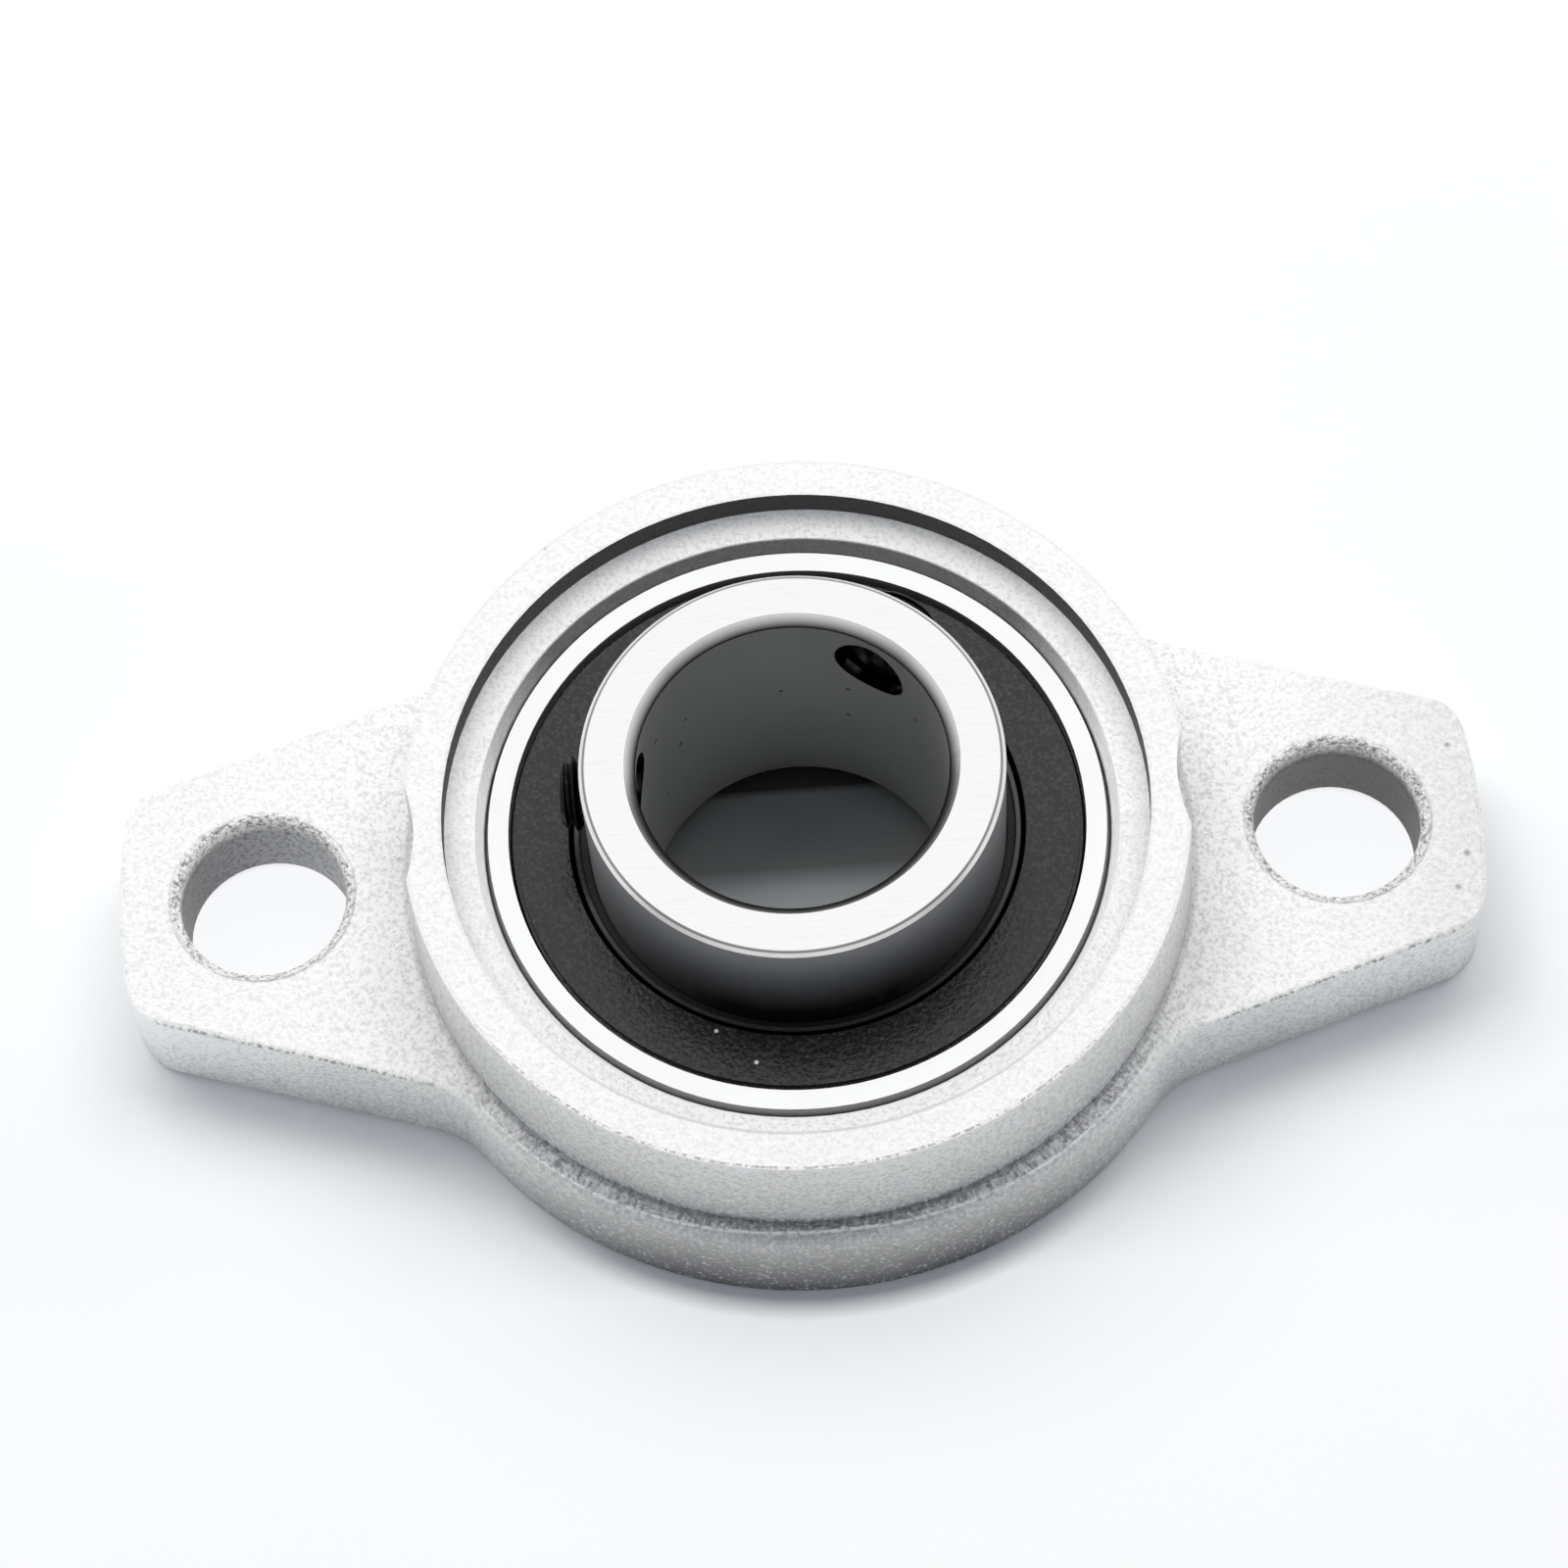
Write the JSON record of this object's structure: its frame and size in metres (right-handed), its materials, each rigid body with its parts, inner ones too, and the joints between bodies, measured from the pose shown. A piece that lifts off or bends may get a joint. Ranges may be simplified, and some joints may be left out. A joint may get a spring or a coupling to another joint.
{
  "type": "flange bearing unit",
  "caption": "Two-bolt flange housing with a round boss that holds a self-aligning sealed ball bearing; the long inner ring clamps a shaft with set screws.",
  "frame": {"origin": "on the shaft axis at the flat mounting face, below the middle of the part", "axes": "+Z along the shaft axis, out of the front where the inner ring stands out; +X from one bolt hole towards the other"},
  "size_m": [0.09, 0.055, 0.022],
  "materials": {
    "cast_zinc": "blasted zinc die casting",
    "ground_steel": "ground",
    "ball_steel": "polished",
    "strip_steel": "pressed strip",
    "seal_rubber": "fine grain",
    "black_steel": "black oxide"
  },
  "bodies": {
    "housing": {"housing": "cast_zinc"},
    "bearing": {"outer_ring": "ground_steel", "front_seal": "seal_rubber", "rear_seal": "seal_rubber", "front_stiffener": "strip_steel", "rear_stiffener": "strip_steel"},
    "inner_ring": {"inner_ring": "ground_steel"},
    "cage": {"front_cage": "strip_steel", "rear_cage": "strip_steel", "cage_rivets": "strip_steel"},
    "ball_1": {"ball_1": "ball_steel"},
    "ball_2": {"ball_2": "ball_steel"},
    "ball_3": {"ball_3": "ball_steel"},
    "ball_4": {"ball_4": "ball_steel"},
    "ball_5": {"ball_5": "ball_steel"},
    "ball_6": {"ball_6": "ball_steel"},
    "ball_7": {"ball_7": "ball_steel"},
    "ball_8": {"ball_8": "ball_steel"},
    "ball_9": {"ball_9": "ball_steel"},
    "set_screw_1": {"set_screw_1": "black_steel"},
    "set_screw_2": {"set_screw_2": "black_steel"}
  },
  "joints": [
    {"name": "align_swivel", "type": "hinge", "parent": "housing", "child": "bearing", "pos_m": [0, 0, 0.007], "axis": [1, 0, 0], "range_deg": [-2.5, 2.5]},
    {"name": "inner_spin", "type": "hinge", "parent": "bearing", "child": "inner_ring", "pos_m": [0, 0, 0.007], "axis": [0, 0, 1], "continuous": true},
    {"name": "cage_orbit", "type": "hinge", "parent": "bearing", "child": "cage", "pos_m": [0, 0, 0.007], "axis": [0, 0, 1], "continuous": true},
    {"name": "ball_1_roll", "type": "hinge", "parent": "cage", "child": "ball_1", "pos_m": [0.0155, 0, 0.007], "axis": [0, 0, 1], "continuous": true},
    {"name": "ball_2_roll", "type": "hinge", "parent": "cage", "child": "ball_2", "pos_m": [0.01187, 0.00996, 0.007], "axis": [0, 0, 1], "continuous": true},
    {"name": "ball_3_roll", "type": "hinge", "parent": "cage", "child": "ball_3", "pos_m": [0.00269, 0.01526, 0.007], "axis": [0, 0, 1], "continuous": true},
    {"name": "ball_4_roll", "type": "hinge", "parent": "cage", "child": "ball_4", "pos_m": [-0.00775, 0.01342, 0.007], "axis": [0, 0, 1], "continuous": true},
    {"name": "ball_5_roll", "type": "hinge", "parent": "cage", "child": "ball_5", "pos_m": [-0.01457, 0.0053, 0.007], "axis": [0, 0, 1], "continuous": true},
    {"name": "ball_6_roll", "type": "hinge", "parent": "cage", "child": "ball_6", "pos_m": [-0.01457, -0.0053, 0.007], "axis": [0, 0, 1], "continuous": true},
    {"name": "ball_7_roll", "type": "hinge", "parent": "cage", "child": "ball_7", "pos_m": [-0.00775, -0.01342, 0.007], "axis": [0, 0, 1], "continuous": true},
    {"name": "ball_8_roll", "type": "hinge", "parent": "cage", "child": "ball_8", "pos_m": [0.00269, -0.01526, 0.007], "axis": [0, 0, 1], "continuous": true},
    {"name": "ball_9_roll", "type": "hinge", "parent": "cage", "child": "ball_9", "pos_m": [0.01187, -0.00996, 0.007], "axis": [0, 0, 1], "continuous": true},
    {"name": "set_screw_1_travel", "type": "slide", "parent": "inner_ring", "child": "set_screw_1", "axis": [-0.5519, -0.8339, 0], "range_m": [0, 0.0009]},
    {"name": "set_screw_2_travel", "type": "slide", "parent": "inner_ring", "child": "set_screw_2", "axis": [0.9981, -0.061, 0], "range_m": [0, 0.0009]}
  ],
  "couplings": [
    {"joint": "cage_orbit", "follows": "inner_spin", "ratio": 0.39758},
    {"joint": "ball_1_roll", "follows": "inner_spin", "ratio": -2.3385},
    {"joint": "ball_2_roll", "follows": "inner_spin", "ratio": -2.3385},
    {"joint": "ball_3_roll", "follows": "inner_spin", "ratio": -2.3385},
    {"joint": "ball_4_roll", "follows": "inner_spin", "ratio": -2.3385},
    {"joint": "ball_5_roll", "follows": "inner_spin", "ratio": -2.3385},
    {"joint": "ball_6_roll", "follows": "inner_spin", "ratio": -2.3385},
    {"joint": "ball_7_roll", "follows": "inner_spin", "ratio": -2.3385},
    {"joint": "ball_8_roll", "follows": "inner_spin", "ratio": -2.3385},
    {"joint": "ball_9_roll", "follows": "inner_spin", "ratio": -2.3385}
  ]
}
